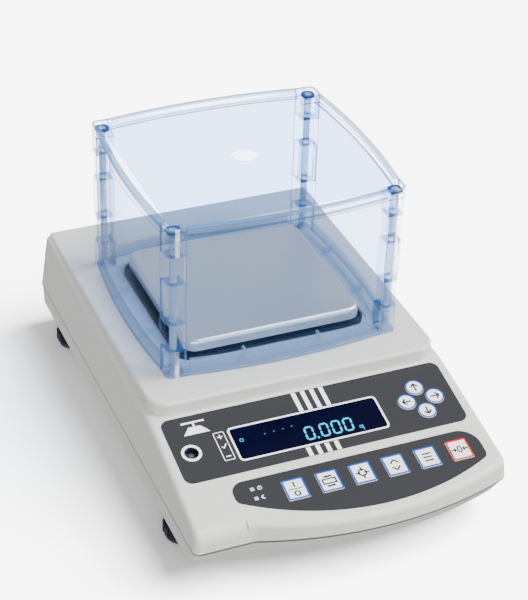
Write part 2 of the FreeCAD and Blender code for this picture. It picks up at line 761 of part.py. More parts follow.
def overload_stops():
    """Pegs just under the arms that take an overload."""
    pegs = []
    for x, y in arm_ends():
        pegs.append(cylinder(x, y, PLATEAU_Z + TRAY_T, SUPPORT_Z[0] - STOP_GAP, STOP_R))
    return Part.makeCompound(pegs)


# ---------------------------------------------------------------- draught shield

def at_pan(shape):
    """Move a shape drawn about the axis to the middle of the draught shield."""
    moved = shape.copy()
    moved.translate(Vector(PAN_X, PAN_Y, 0))
    return moved


def turned(shape, quarters):
    """Turn a shape by quarter turns about the axis."""
    moved = shape.copy()
    moved.rotate(Vector(0, 0, 0), Vector(0, 0, 1), 90.0 * quarters)
    return moved


def bowed_strip(half, near, bow, thickness, z0, z1):
    """Upright strip along -Y whose outside bows out from near at the ends to near + bow."""
    r = (half ** 2 + bow ** 2) / (2 * bow)
    centre_y = -near - bow + r

    def y_at(x, radius):
        return centre_y - math.sqrt(radius ** 2 - x ** 2)

    inner = r - thickness
    outside = [Vector(x, y_at(x, r), z0) for x in (-half, 0.0, half)]
    inside = [Vector(x, y_at(x, inner), z0) for x in (half, 0.0, -half)]
    wire = Part.Wire([
        Part.Arc(*outside).toShape(),
        Part.makeLine(outside[2], inside[0]),
        Part.Arc(*inside).toShape(),
        Part.makeLine(inside[2], outside[0]),
    ])
    return Part.Face(wire).extrude(Vector(0, 0, z1 - z0))


def corner_block(hx, hy, size, z0, z1):
    """Knuckle at the corner (hx, -hy), rounded on the outside."""
    offset = (BLOCK - size) / 2
    block = box(hx - BLOCK + offset, hx - offset, -hy + offset, -hy + BLOCK - offset, z0, z1)
    outside = Vector(hx - offset, -hy + offset, 0)

    def outer_corner(e):
        p = e.Vertexes[0].Point
        return upright(e) and math.hypot(p.x - outside.x, p.y - outside.y) < 0.01

    return fillet(block, BLOCK_R - offset, outer_corner)


def shield_panel(hx, hy, bow, spans, size):
    """Panel along -Y: bowed sheet, thick top rim and knuckles at both ends over the given spans."""
    z0, z1 = SHIELD_Z
    half = hx - BLOCK - KNUCKLE_GAP
    sheet = bowed_strip(half, hy, bow, PANEL_T, z0, z1)
    rim = bowed_strip(half, hy, bow, RIM_T, z1 - RIM_H, z1)
    solids = [sheet, rim]
    for low, high in spans:
        top = z1 if high == KNUCKLES[-1] else z0 + high - KNUCKLE_GAP
        knuckle = corner_block(hx, hy, size, z0 + low, top)
        web = box(half - 3.0, hx - BLOCK + 2.0, -hy, -hy + PANEL_T, z0 + low, top)
        for piece in (knuckle, web):
            solids += [piece, piece.mirror(Vector(0, 0, 0), Vector(1, 0, 0))]
    panel = join(solids)
    holes = [cylinder(i * (hx - BLOCK / 2), -hy + BLOCK / 2, z0 - 1.0, z1 + 1.0, PIN_R) for i in (-1, 1)]
    outer = Vector(hx - POCKET_WALL, -hy + POCKET_WALL, 0)
    pocket = box(outer.x - BLOCK, outer.x, outer.y, outer.y + BLOCK, z1 - POST_TOP_DROP, z1 + 1.0)
    pocket = fillet(pocket, BLOCK_R - POCKET_WALL, lambda e: upright(e) and
                    math.hypot(e.Vertexes[0].X - outer.x, e.Vertexes[0].Y - outer.y) < 0.01)
    holes += [pocket, pocket.mirror(Vector(0, 0, 0), Vector(1, 0, 0))]
    return panel.cut(holes)


def spans(first):
    """Every second knuckle, from the first."""
    pairs = list(zip(KNUCKLES[:-1], KNUCKLES[1:]))
    return pairs[first::2]


def shield_panels():
    """The four panels by name."""
    hx, hy = SHIELD_HALF
    front = shield_panel(hx, hy, BOW_OUT[1], spans(0), BLOCK)
    side = shield_panel(hy, hx, BOW_OUT[0], spans(1), INNER_BLOCK)
    return {
        "front_panel": at_pan(front),
        "back_panel": at_pan(turned(front, 2)),
        "right_panel": at_pan(turned(side, 1)),
        "left_panel": at_pan(turned(side, 3)),
    }


def pin_places():
    """Axes of the four corner pins, about the shield's middle."""
    hx, hy = SHIELD_HALF
    return [(i * (hx - BLOCK / 2), j * (hy - BLOCK / 2)) for i in (-1, 1) for j in (-1, 1)]


def corner_pins():
    """Four pins that join the panels."""
    z0, z1 = SHIELD_Z
    pins = [cylinder(x, y, z0, z1 - POST_TOP_DROP + CUSHION_T, PIN_R) for x, y in pin_places()]
    return at_pan(Part.makeCompound(pins))


def corner_cushions():
    """Four soft pads on the corner posts that carry the lid."""
    z = SHIELD_Z[1] - POST_TOP_DROP
    half = CUSHION / 2
    pads = []
    for x, y in pin_places():
        pad = rounded_box(x - half, x + half, y - half, y + half, z, z + CUSHION_T, CUSHION_R)
        pads.append(pad.cut(cylinder(x, y, z - 1.0, z + 2 * CUSHION_T, PIN_R)))
    return at_pan(Part.makeCompound(pads))


def shield_base():
    """Frame inside the foot of the panels: ledge round the pan and an upstand along each panel."""
    hx, hy = SHIELD_HALF
    z0 = SHIELD_Z[0]
    gap = PANEL_T + PANEL_GAP
    ledge = box(-hx + gap, hx - gap, -hy + gap, hy - gap, z0, z0 + LEDGE_T)
    solids = [ledge]
    for quarters, (half, near, bow) in enumerate([(hx, hy, BOW_OUT[1]), (hy, hx, BOW_OUT[0])] * 2):
        panel_half = half - BLOCK - KNUCKLE_GAP
        length = panel_half - 4.0
        sagitta = bow * (length / panel_half) ** 2
        reach = near + bow - sagitta - gap
        fill = bowed_strip(length, reach, sagitta, 8.0, z0, z0 + LEDGE_T)
        wall = bowed_strip(length, reach, sagitta, UPSTAND_T, z0, z0 + UPSTAND_H)
        half_t = GUSSET_T / 2
        gussets = [box(x - half_t, x + half_t, -reach + 0.5, -reach + 6.0, z0, z0 + UPSTAND_H - 2.0)
                   for x in (-GUSSET_AT, GUSSET_AT)]
        solids += [turned(piece, quarters) for piece in [fill, wall] + gussets]
    frame = join(solids)
    cuts = [rounded_box(-LEDGE_HALF[0], LEDGE_HALF[0], -LEDGE_HALF[1], LEDGE_HALF[1],
                        z0 - 1.0, z0 + UPSTAND_H + 1.0, LEDGE_R)]
    clear = BLOCK + KNUCKLE_GAP
    for i in (-1, 1):
        for j in (-1, 1):
            x0, x1 = sorted((i * (hx - clear), i * (hx + 1.0)))
            y0, y1 = sorted((j * (hy - clear), j * (hy + 1.0)))
            cuts.append(box(x0, x1, y0, y1, z0 - 1.0, z0 + UPSTAND_H + 1.0))
    return at_pan(frame.cut(cuts))


def shield_lid():
    """Flat clear lid with a finger hole."""
    z0 = SHIELD_Z[1] - POST_TOP_DROP + CUSHION_T + SEAT_GAP
    hx, hy = LID_HALF
    plate = rounded_box(-hx, hx, -hy, hy, z0, z0 + LID_T, LID_R)
    return at_pan(plate.cut(cylinder(0.0, 0.0, z0 - 1.0, z0 + 2 * LID_T, FINGER_R)))


# ---------------------------------------------------------------- feet

def feet_places():
    """Corner name and axis of each foot."""
    front, back = FEET_Y
    return {
        "front_left": (-FEET_X, front),
        "front_right": (FEET_X, front),
        "back_left": (-FEET_X, back),
        "back_right": (FEET_X, back),
    }


def foot_pad(x, y):
    """Rubber pad with the swivel pin that the screw foot turns on."""
    pad = fillet(cylinder(x, y, 0.0, PAD_H, PAD_R), 0.8, level_at(PAD_H))
    return join([pad, cylinder(x, y, PAD_H, SWIVEL_Z, SWIVEL_R)])


def foot_screw(x, y):
    """Knurled wheel on a threaded stud."""
    z0, z1 = WHEEL_Z
    wheel = cylinder(x, y, z0, z1, WHEEL_R)
    wheel = wheel.makeChamfer(1.0, [e for e in wheel.Edges if level_at(z1)(e) or level_at(z0)(e)])
    grips = []
    for i in range(GRIPS):
        turn = 2 * math.pi * i / GRIPS
        grips.append(cylinder(x + (WHEEL_R + 0.5) * math.cos(turn), y + (WHEEL_R + 0.5) * math.sin(turn),
                              z0 - 1.0, z1 + 1.0, GRIP_R))
    stud = cylinder(x, y, z1 - 1.0, STUD_TOP_Z, STUD_R)
    swivel = cylinder(x, y, z0 - 1.0, SWIVEL_Z + SWIVEL_END_GAP, SWIVEL_R + RUN_GAP)
    return join([wheel.cut(grips), stud]).cut(swivel)


# ---------------------------------------------------------------- all nodes

def main():
    os.makedirs("parts", exist_ok=True)
    nodes = {
        "upper_housing": upper_housing(), "lower_housing": lower_housing(),
        "case_screws": case_screws(), "display_film": display_film(),
        "keypad_film": keypad_film(), "display_window": display_window(),
        "display_tube": display_tube(), "control_board": control_board(),
        "key_domes": key_domes(), "status_lamps": status_lamps(),
        "level_cup": level_cup(), "level_vial": level_vial(), "level_bezel": level_bezel(),
        "cell_base": cell_base(), "load_cell": load_cell(), "cell_screws": cell_screws(),
        "main_board": main_board(), "board_parts": board_parts(),
        "power_inlet": power_inlet(), "data_port": data_port(), "hook_cover": hook_cover(),
        "weighing_pan": weighing_pan(), "pan_support": pan_support(),
        "pan_buffers": pan_buffers(), "support_post": support_post(),
        "pan_tray": pan_tray(), "overload_stops": overload_stops(),
        "shield_base": shield_base(), "corner_pins": corner_pins(),
        "corner_cushions": corner_cushions(), "shield_lid": shield_lid(),
    }
    nodes.update(shield_panels())
    for name, x, s in key_places():
        nodes[name] = key(name, x, s)
    for corner, (x, y) in feet_places().items():
        nodes["foot_pad_" + corner] = foot_pad(x, y)
        nodes["foot_screw_" + corner] = foot_screw(x, y)
    for name, shape in nodes.items():
        save(name, shape)


main()
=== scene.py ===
import math

import bmesh
import bpy
from mathutils import Matrix, Vector


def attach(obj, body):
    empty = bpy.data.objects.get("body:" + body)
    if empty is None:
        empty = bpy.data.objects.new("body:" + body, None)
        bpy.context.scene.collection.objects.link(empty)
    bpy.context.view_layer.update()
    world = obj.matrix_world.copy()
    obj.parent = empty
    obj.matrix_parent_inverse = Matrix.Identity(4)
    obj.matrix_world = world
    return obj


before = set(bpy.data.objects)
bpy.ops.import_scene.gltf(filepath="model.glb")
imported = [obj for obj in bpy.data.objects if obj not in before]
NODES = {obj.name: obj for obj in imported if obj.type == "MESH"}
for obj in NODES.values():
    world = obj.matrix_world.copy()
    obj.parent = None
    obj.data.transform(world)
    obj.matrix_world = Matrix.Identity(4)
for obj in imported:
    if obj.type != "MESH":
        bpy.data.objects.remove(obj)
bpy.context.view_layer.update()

MM = 0.001

# Control deck: x to the right, s down the slope, n out of the surface, in millimetres.
DECK_Y = -64.9
DECK_Z = 68.2
DECK_TILT = math.radians(12.6)
FILM_TOP = 0.4
PRINT_T = 0.05
WINDOW = (-59.5, 45.8, 17.6, 45.4)
POINT_AT = (-3.7, 40.8)
UNIT_AT = (27.0, 39.9)
STEADY_AT = (-53.3, 29.0)
TOLERANCE_BOX = (-69.8, -62.3, 18.6, 42.5)
TOLERANCE_X = -66.0
SIGN_AT = (-79.0, 10.5)
LEVEL_AT = (-88.3, 30.5)
LEVEL_RIM_N = -2.0
LEVEL_RIM_T = 1.6
LEVEL_FACE_N = -3.0
ARROWS_AT = (75.7, 28.9)
ARROW_STEP = 10.4
ARROW_R = 6.4
KEY_TOP = 0.9
KEY_W = 14.8
KEY_L = 16.3
KEY_EDGE = 0.05
KEY_S = 76.4
KEY_FIRST_X = -34.7
KEY_PITCH = 23.3
LAMP_X = -61.4
LAMP_S = (68.8, 76.4)
SQUARE_KEYS = ("on_off_key", "print_key", "adjust_key", "select_key", "function_key", "tare_key")
ARROW_KEYS = {"up_key": (0, -1), "right_key": (1, 0), "down_key": (0, 1), "left_key": (-1, 0)}

# Draught shield, its lines of deeper plastic and its painted highlight streaks, in millimetres.
PAN_CENTRE_Y = 42.0
SHIELD_TOP = 192.4
SHIELD_HALF = (84.0, 78.3)
POST = 13.0
RIM_H = 7.0
LIP = (1.3, 0.9)
SKIN = 1.0
POST_LINE = 0.9
CORNER_LINE = 1.6
RIM_LINE = 0.8
# Painted highlight: pale streaks along the posts, this far in from the post's outer face and this wide.
HIGHLIGHT_IN = 0.55 * POST
HIGHLIGHT_W = 2.0
DEEP_BLUE = (0.07, 0.20, 0.45)
# Colour of the painted highlight streaks.
PAINTED_HIGHLIGHT = (0.95, 0.97, 1.0)

# Painted shade: a dark line where the casing's shells meet, for the shadow in the gap between them.
SEAM_Z = 33.6
SEAM_REACH = 1.5
SEAM_SHADE = (0.10, 0.10, 0.10)

# Scales of the noises, per metre.
CLOUD = 18.0
PRINT_GRAIN = 2600.0

SURROUND = 0.74

# View: angles in degrees, distances in millimetres.
VIEW_ANGLES = (-23.45, 33.46, 2.02)
VIEW_TARGET = (28.78, 67.65, 52.0)
VIEW_DISTANCE = 1332.56
VIEW_LENS = 109.4
VIEW_SENSOR = 36.0


def to_deck(x, s, n):
    """Point in the frame, in metres, of a place on the deck."""
    y = DECK_Y - s * math.cos(DECK_TILT) - n * math.sin(DECK_TILT)
    z = DECK_Z - s * math.sin(DECK_TILT) + n * math.cos(DECK_TILT)
    return Vector((x, y, z)) * MM


# ------------------------------------------------------------------ finishes

class Level:
    """A number that changes over a surface; arithmetic on it adds Math nodes."""

    def __init__(self, finish, socket):
        self.finish = finish
        self.socket = socket

    def math(self, operation, *others):
        """This level and the others put through one Math operation."""
        node = self.finish.tree.nodes.new("ShaderNodeMath")
        node.operation = operation
        for slot, item in zip(node.inputs, (self,) + others):
            self.finish.feed(slot, item)
        return Level(self.finish, node.outputs[0])

    def __add__(self, other):
        return self.math("ADD", other)

    __radd__ = __add__

    def __mul__(self, other):
        return self.math("MULTIPLY", other)

    __rmul__ = __mul__

    def __sub__(self, other):
        return self.math("SUBTRACT", other)

    def __rsub__(self, other):
        return (self * -1.0) + other

    def __gt__(self, other):
        return self.math("GREATER_THAN", other)

    def __abs__(self):
        return self.math("ABSOLUTE")

    def near(self, value, reach):
        """1 at value, falling to 0 at reach from it."""
        return 1.0 - abs(self - value).soft(reach * 0.6, reach)

    def soft(self, low, high):
        """0 below low, 1 above high, smooth between."""
        node = self.finish.add("ShaderNodeMapRange", {"interpolation_type": "SMOOTHSTEP"},
                               {"Value": self, "From Min": low, "From Max": high})
        return Level(self.finish, node.outputs["Result"])


class Finish:
    """A named material with its shader and the helpers that build it."""

    def __init__(self, name):
        self.material = bpy.data.materials.new(name)
        self.material.use_nodes = True
        self.tree = self.material.node_tree
        self.shader = self.tree.nodes["Principled BSDF"]

    def feed(self, slot, item):
        """Link a socket or set a constant."""
        if isinstance(item, Level):
            self.tree.links.new(item.socket, slot)
        elif isinstance(item, bpy.types.NodeSocket):
            self.tree.links.new(item, slot)
        else:
            slot.default_value = item

    def add(self, kind, settings=None, inputs=None):
        """New node with its settings, then its inputs by name."""
        node = self.tree.nodes.new(kind)
        for key, value in (settings or {}).items():
            setattr(node, key, value)
        for key, item in (inputs or {}).items():
            self.feed(node.inputs[key], item)
        return node

    def place(self):
        """Object coordinates."""
        return self.add("ShaderNodeTexCoord").outputs["Object"]

    def axes(self):
        """The three object coordinates, in millimetres."""
        split = self.add("ShaderNodeSeparateXYZ", None, {"Vector": self.place()})
        return [Level(self, out) * (1 / MM) for out in split.outputs]

    def noise(self, scale, detail=3.0, stretch=None):
        """Noise over the object, scale per metre, stretched by an optional triple."""
        where = self.place()
        if stretch:
            mapping = self.add("ShaderNodeMapping", None, {"Vector": where, "Scale": stretch})
            where = mapping.outputs["Vector"]
        node = self.add("ShaderNodeTexNoise", None, {"Vector": where, "Scale": scale, "Detail": detail})
        return Level(self, node.outputs[0])

    def blend(self, factor, first, second):
        """Colour between two colours."""
        node = self.add("ShaderNodeMix", {"data_type": "RGBA"})
        self.feed(node.inputs[0], factor)
        for slot, item in ((node.inputs[6], first), (node.inputs[7], second)):
            self.feed(slot, item if isinstance(item, bpy.types.NodeSocket) else (*item, 1.0))
        return node.outputs[2]

    def set(self, **values):
        """Constants on the shader's own sockets."""
        for key, value in values.items():
            self.shader.inputs[key.replace("_", " ")].default_value = value
        return self

    def vary(self, key, item):
        """What changes over the surface."""
        self.feed(self.shader.inputs[key], item)
        return self

    def bump(self, height, strength, distance):
        """Fine relief."""
        node = self.add("ShaderNodeBump", None, {"Height": height, "Strength": strength,
                                                 "Distance": distance})
        self.feed(self.shader.inputs["Normal"], node.outputs["Normal"])
        return self


def grained(f, roughness, grain, relief):
    """Fine grain in the gloss and relief of a moulded or painted finish."""
    fine = f.noise(grain)
    f.vary("Roughness", fine * 0.12 + (roughness - 0.06))
    return f.bump(fine, relief, 0.0002)


def plain(name, colour, spread, roughness, grain, relief, **constants):
    """Moulded or painted finish: a colour that wanders by its spread, with a fine grain."""
    f = Finish(name).set(**constants)
    dark = [c * (1 - spread) for c in colour]
    light = [min(1.0, c * (1 + spread)) for c in colour]
    f.vary("Base Color", f.blend(f.noise(CLOUD), dark, light))
    return grained(f, roughness, grain, relief)


def casing_finish():
    """Warm light grey moulding with a fine spark-eroded grain and a painted shade line where the shells
    meet.
    """
    f = Finish("casing_grey").set(IOR=1.4)
    # Painted shade: a darker band along the gap between the shells.
    seam_shade = f.axes()[2].near(SEAM_Z, SEAM_REACH)
    shell = f.blend(f.noise(CLOUD), (0.61, 0.605, 0.58), (0.63, 0.628, 0.608))
    f.vary("Base Color", f.blend(seam_shade, shell, SEAM_SHADE))
    return grained(f, 0.42, 1400.0, 0.10)


def print_finish(name, colour):
    """Screen-printed ink."""
    return plain(name, colour, 0.03, 0.4, PRINT_GRAIN, 0.03, IOR=1.2)


def steel_finish():
    """Satin rolled stainless steel with fine lines along X."""
    f = Finish("satin_stainless").set(Metallic=0.88)
    lines = f.noise(2600.0, 2.0, (0.02, 1.0, 1.0))
    cloud = f.noise(14.0)
    f.vary("Base Color", f.blend(cloud, (0.90, 0.865, 0.81), (0.98, 0.945, 0.89)))
    f.vary("Roughness", lines * 0.10 + 0.28)
    return f.bump(lines, 0.06, 0.0001)


def bare_metal(name, colour, roughness):
    """Plated or machined metal with faint tool marks."""
    f = Finish(name).set(Metallic=1.0)
    marks = f.noise(1800.0, 2.0, (1.0, 0.1, 1.0))
    f.vary("Base Color", f.blend(marks, [c * 0.9 for c in colour], colour))
    f.vary("Roughness", marks * 0.12 + (roughness - 0.06))
    return f.bump(marks, 0.08, 0.0001)


def post_marks(f, cloud):
    """Masks of the draught shield's panels: deep at post and rim edges, painted highlight streaks along the
    posts.
    """
    x, y, z = f.axes()
    across, along = abs(x), abs(y - PAN_CENTRE_Y)
    half_x, half_y = SHIELD_HALF
    on_ends, on_sides = along > half_y - SKIN, across > half_x - SKIN
    beside = on_ends * across.near(half_x - POST, POST_LINE) \
        + on_sides * along.near(half_y - POST, POST_LINE)
    corner = (across > half_x - CORNER_LINE) * (along > half_y - CORNER_LINE)
    rim = z.near(SHIELD_TOP - RIM_H, RIM_LINE) + z.soft(SHIELD_TOP - LIP[0], SHIELD_TOP - LIP[1])
    # Painted highlight: pale streaks along the posts, broken up by the cloud noise.
    highlight_streak = on_ends * across.near(half_x - HIGHLIGHT_IN, HIGHLIGHT_W) \
        + on_sides * along.near(half_y - HIGHLIGHT_IN, HIGHLIGHT_W)
    return (beside + corner + rim) * 0.5, highlight_streak * cloud.soft(0.35, 0.6)


def acrylic_finish(name, tint, ends, posts, haze=0.035, body=DEEP_BLUE):
    """Clear tinted acrylic: bluer edge on, at flat ends, rims and post edges, with painted highlight streaks
    on posts.

    ends and posts say how strongly flat ends and post marks show, haze how milky the plastic is
    all over, and body is the colour of its solid share.
    """
    f = Finish(name).set(IOR=1.49)
    cloud = f.noise(30.0)
    facing = Level(f, f.add("ShaderNodeLayerWeight", None, {"Blend": 0.3}).outputs["Facing"])
    normal = f.add("ShaderNodeNewGeometry").outputs["Normal"]
    up = Level(f, f.add("ShaderNodeSeparateXYZ", None, {"Vector": normal}).outputs[2])
    deep, highlight_mask = (mask * posts for mask in post_marks(f, cloud))
    # Painted highlight: the streak mask turns the colour towards near white and makes the plastic more solid
    # there.
    f.vary("Base Color", f.blend(highlight_mask, body, PAINTED_HIGHLIGHT))
    f.vary("Roughness", cloud * 0.03 + 0.05)
    clear = f.add("ShaderNodeBsdfTransparent", None, {"Color": (*tint, 1.0)})
    edge = facing.soft(0.45, 0.95) * 0.7 + abs(up).soft(0.85, 0.95) * ends
    share = (edge + deep + highlight_mask * 0.6 + haze).math("MINIMUM", 0.9)
    mixed = f.add("ShaderNodeMixShader", None, {"Fac": share})
    f.feed(mixed.inputs[1], clear.outputs[0])
    f.feed(mixed.inputs[2], f.shader.outputs[0])
    f.feed(f.tree.nodes["Material Output"].inputs["Surface"], mixed.outputs[0])
    return f


def glow_finish(name, colour, strength):
    """Lit segments or lamps."""
    f = Finish(name).set(Emission_Strength=strength)
    cloud = f.noise(400.0)
    f.vary("Base Color", f.blend(cloud, [c * 0.5 for c in colour], colour))
    f.vary("Emission Color", f.blend(cloud, [c * 0.9 for c in colour], colour))
    f.vary("Roughness", cloud * 0.1 + 0.3)
    return f


CASING = casing_finish()
FILM = plain("foil_dark_grey", (0.029, 0.030, 0.032), 0.04, 0.55, PRINT_GRAIN, 0.06, IOR=1.12)
INK_WHITE = print_finish("ink_white", (0.95, 0.95, 0.95))
INK_BLUE = print_finish("ink_blue", (0.0, 0.07, 0.38))
INK_RED = print_finish("ink_red", (0.66, 0.0, 0.004))
INK_GREY = print_finish("ink_grey", (0.03, 0.031, 0.034))
INK_CREAM = print_finish("ink_dull_cream", (0.30, 0.27, 0.20))
KEY_WHITE = plain("key_white", (0.92, 0.93, 0.94), 0.02, 0.30, 800.0, 0.03)
STEEL = steel_finish()
ACRYLIC = acrylic_finish("clear_blue_acrylic", (0.85, 0.902, 0.975), 0.24, 1.0)
CLEAR_FRAME = acrylic_finish("clear_blue_frame", (0.96, 0.975, 0.99), 0.0, 0.0, 0.34, (0.50, 0.63, 0.78))
CLEAR_LID = acrylic_finish("clear_blue_lid", (0.75, 0.835, 0.96), 0.0, 0.0)
WINDOW_FILTER = plain("display_filter", (0.0010, 0.0012, 0.012), 0.3, 0.14, 300.0, 0.0, IOR=1.15)
DIGIT_GLOW = glow_finish("segment_cyan", (0.0, 0.42, 0.64), 0.95)
DIM_GLOW = glow_finish("segment_dim", (0.01, 0.28, 0.50), 0.6)
FAINT_GLOW = glow_finish("segment_faint", (0.02, 0.16, 0.30), 0.5)
LAMP_GLOW = glow_finish("lamp_cyan", (0.35, 0.62, 0.66), 0.5)
BLACK = plain("moulded_black", (0.010, 0.011, 0.014), 0.2, 0.38, 900.0, 0.06)
FOOT = plain("moulded_navy_black", (0.005, 0.006, 0.020), 0.2, 0.40, 900.0, 0.08, IOR=1.25)
RUBBER = plain("soft_black_rubber", (0.014, 0.014, 0.015), 0.2, 0.62, 1100.0, 0.12)
CUSHION = plain("soft_blue_rubber", (0.03, 0.09, 0.22), 0.15, 0.40, 900.0, 0.08)
PIN = acrylic_finish("clear_blue_pin", (0.94, 0.96, 0.985), 0.1, 0.0, 0.5, (0.60, 0.72, 0.86))
BOARD = plain("board_green", (0.02, 0.12, 0.05), 0.2, 0.35, 700.0, 0.05)
SILICONE = plain("dome_silicone", (0.5, 0.5, 0.47), 0.06, 0.5, 700.0, 0.05)
COMPONENT = plain("component_black", (0.02, 0.02, 0.022), 0.2, 0.4, 700.0, 0.05)
ALUMINIUM = bare_metal("milled_aluminium", (0.62, 0.63, 0.65), 0.35)
PLATED = bare_metal("plated_steel", (0.55, 0.55, 0.56), 0.30)
CUP = plain("level_navy", (0.003, 0.005, 0.02), 0.2, 0.25, 500.0, 0.02)
VIAL = plain("level_liquid", (0.003, 0.004, 0.012), 0.25, 0.08, 200.0, 0.0, Coat_Weight=1.0)
BUBBLE = plain("level_bubble_grey", (0.07, 0.075, 0.10), 0.1, 0.10, 200.0, 0.0)

WEARS = {
    CASING: ("upper_housing", "lower_housing"),
    FILM: ("display_film", "keypad_film"),
    WINDOW_FILTER: ("display_window", "display_tube"),
    BOARD: ("control_board", "main_board"),
    SILICONE: ("key_domes",),
    LAMP_GLOW: ("status_lamps",),
    CUP: ("level_cup",),
    VIAL: ("level_vial",),
    INK_WHITE: ("level_bezel",),
    KEY_WHITE: SQUARE_KEYS + tuple(ARROW_KEYS),
    ALUMINIUM: ("load_cell", "cell_base", "pan_support"),
    PLATED: ("case_screws", "cell_screws", "data_port", "support_post"),
    COMPONENT: ("board_parts",),
    BLACK: ("power_inlet", "hook_cover", "pan_tray", "overload_stops"),
    STEEL: ("weighing_pan",),
    RUBBER: ("pan_buffers",) + tuple(n for n in NODES if n.startswith("foot_pad_")),
    FOOT: tuple(n for n in NODES if n.startswith("foot_screw_")),
    CLEAR_FRAME: ("shield_base",),
    ACRYLIC: ("front_panel", "back_panel", "left_panel", "right_panel"),
    CLEAR_LID: ("shield_lid",),
    PIN: ("corner_pins",),
    CUSHION: ("corner_cushions",),
}


def dress_nodes():
    """Give every CAD node its finish."""
    for finish, names in WEARS.items():
        for name in names:
            slots = NODES[name].data.materials
            slots.clear()
            slots.append(finish.material)


# ------------------------------------------------------------------ outlines on the deck

def circle(x, s, r, count=40):
    """Round outline."""
    return [(x + r * math.cos(2 * math.pi * i / count), s + r * math.sin(2 * math.pi * i / count))
            for i in range(count)]


def rectangle(x0, x1, s0, s1, r):
    """Rectangle with round corners, each drawn in six steps."""
    steps = 6
    points = []
    for cx, cs, turn in ((x1 - r, s1 - r, 0), (x0 + r, s1 - r, 1), (x0 + r, s0 + r, 2), (x1 - r, s0 + r, 3)):
        for i in range(steps + 1):
            angle = math.pi / 2 * (turn + i / steps)
            points.append((cx + r * math.cos(angle), cs + r * math.sin(angle)))
    return points


def framed(x0, x1, s0, s1, outset, inset, radii):
    """Outer and inner outline of a line round a rectangle."""
    outer = rectangle(x0 - outset, x1 + outset, s0 - outset, s1 + outset, radii[0])
    inner = rectangle(x0 + inset, x1 - inset, s0 + inset, s1 - inset, radii[1])
    return outer, inner


def bar(a, b, width):
    """Straight stroke from a to b."""
    ax, ay = a
    bx, by = b
    length = math.hypot(bx - ax, by - ay)
    ox, oy = -(by - ay) / length * width / 2, (bx - ax) / length * width / 2
    return [(ax + ox, ay + oy), (bx + ox, by + oy), (bx - ox, by - oy), (ax - ox, ay - oy)]


def arrow(x, s, dx, ds, size, width):
    """Strokes of an arrow centred at (x, s) that points along (dx, ds)."""
    tip = (x + dx * size, s + ds * size)
    tail = (x - dx * size, s - ds * size)
    left = (tip[0] - (dx + ds) * size * 0.8, tip[1] - (ds + dx) * size * 0.8)
    right = (tip[0] - (dx - ds) * size * 0.8, tip[1] - (ds - dx) * size * 0.8)
    return [bar(tail, tip, width), bar(left, tip, width), bar(right, tip, width)]


def add_prism(bm, outline, n0, n1):
    """Solid between two levels over one closed outline."""
    low = [bm.verts.new(to_deck(x, s, n0)) for x, s in outline]
    high = [bm.verts.new(to_deck(x, s, n1)) for x, s in outline]
    bm.faces.new(low)
    bm.faces.new(high[::-1])
    for i in range(len(outline)):
        j = (i + 1) % len(outline)
        bm.faces.new((low[i], high[i], high[j], low[j]))


def add_ring(bm, outer, inner, n0, n1):
    """Solid between two levels and two outlines with the same number of points."""
    loops = [[bm.verts.new(to_deck(x, s, n)) for x, s in line]
             for line, n in ((outer, n0), (outer, n1), (inner, n1), (inner, n0))]
    for a, b in zip(loops, loops[1:] + loops[:1]):
        for i in range(len(outer)):
            j = (i + 1) % len(outer)
            bm.faces.new((a[i], b[i], b[j], a[j]))


def add_piece(name, mesh, body):
    """Object made of the mesh, riding a body."""
    piece = bpy.data.objects.new(name, mesh)
    bpy.context.scene.collection.objects.link(piece)
    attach(piece, body)


def printed(name, body, finish, prisms=(), rings=(), n0=FILM_TOP, thickness=PRINT_T):
    """Thin printed or applied piece on the deck, riding a body."""
    bm = bmesh.new()
    for outline in prisms:
        add_prism(bm, outline, n0, n0 + thickness)
    for outer, inner in rings:
        add_ring(bm, outer, inner, n0, n0 + thickness)
    bmesh.ops.recalc_face_normals(bm, faces=bm.faces)
    mesh = bpy.data.meshes.new(name)
    bm.to_mesh(mesh)
    bm.free()
    mesh.materials.append(finish.material)
    add_piece(name, mesh, body)


# ------------------------------------------------------------------ rows made with geometry nodes

def row_tree():
    """Row of equal blocks or studs: named inputs for how many, how far apart and how large."""
    tree = bpy.data.node_groups.new("row_of_blocks", "GeometryNodeTree")
    sockets = (("Geometry", "Geometry"), ("Count", "Int"), ("Start", "Vector"), ("Step", "Vector"),
               ("Size", "Vector"), ("Tilt", "Vector"), ("Finish", "Material"))
    for label, kind in sockets:
        tree.interface.new_socket(label, in_out="INPUT", socket_type="NodeSocket" + kind)
    tree.interface.new_socket("Geometry", in_out="OUTPUT", socket_type="NodeSocketGeometry")
    nodes, links = tree.nodes, tree.links
    given = nodes.new("NodeGroupInput")
    result = nodes.new("NodeGroupOutput")
    line = nodes.new("GeometryNodeMeshLine")
    block = nodes.new("GeometryNodeMeshCube")
    place = nodes.new("GeometryNodeInstanceOnPoints")
    real = nodes.new("GeometryNodeRealizeInstances")
    paint = nodes.new("GeometryNodeSetMaterial")
    wires = [
        (given.outputs["Count"], line.inputs["Count"]),
        (given.outputs["Start"], line.inputs["Start Location"]),
        (given.outputs["Step"], line.inputs["Offset"]),
        (given.outputs["Size"], block.inputs["Size"]),
        (given.outputs["Tilt"], place.inputs["Rotation"]),
        (given.outputs["Finish"], paint.inputs["Material"]),
        (line.outputs["Mesh"], place.inputs["Points"]),
        (block.outputs["Mesh"], place.inputs["Instance"]),
        (place.outputs["Instances"], real.inputs["Geometry"]),
        (real.outputs["Geometry"], paint.inputs["Geometry"]),
        (paint.outputs["Geometry"], result.inputs["Geometry"]),
    ]
    for source, target in wires:
        links.new(source, target)
    return tree


ROW = row_tree()


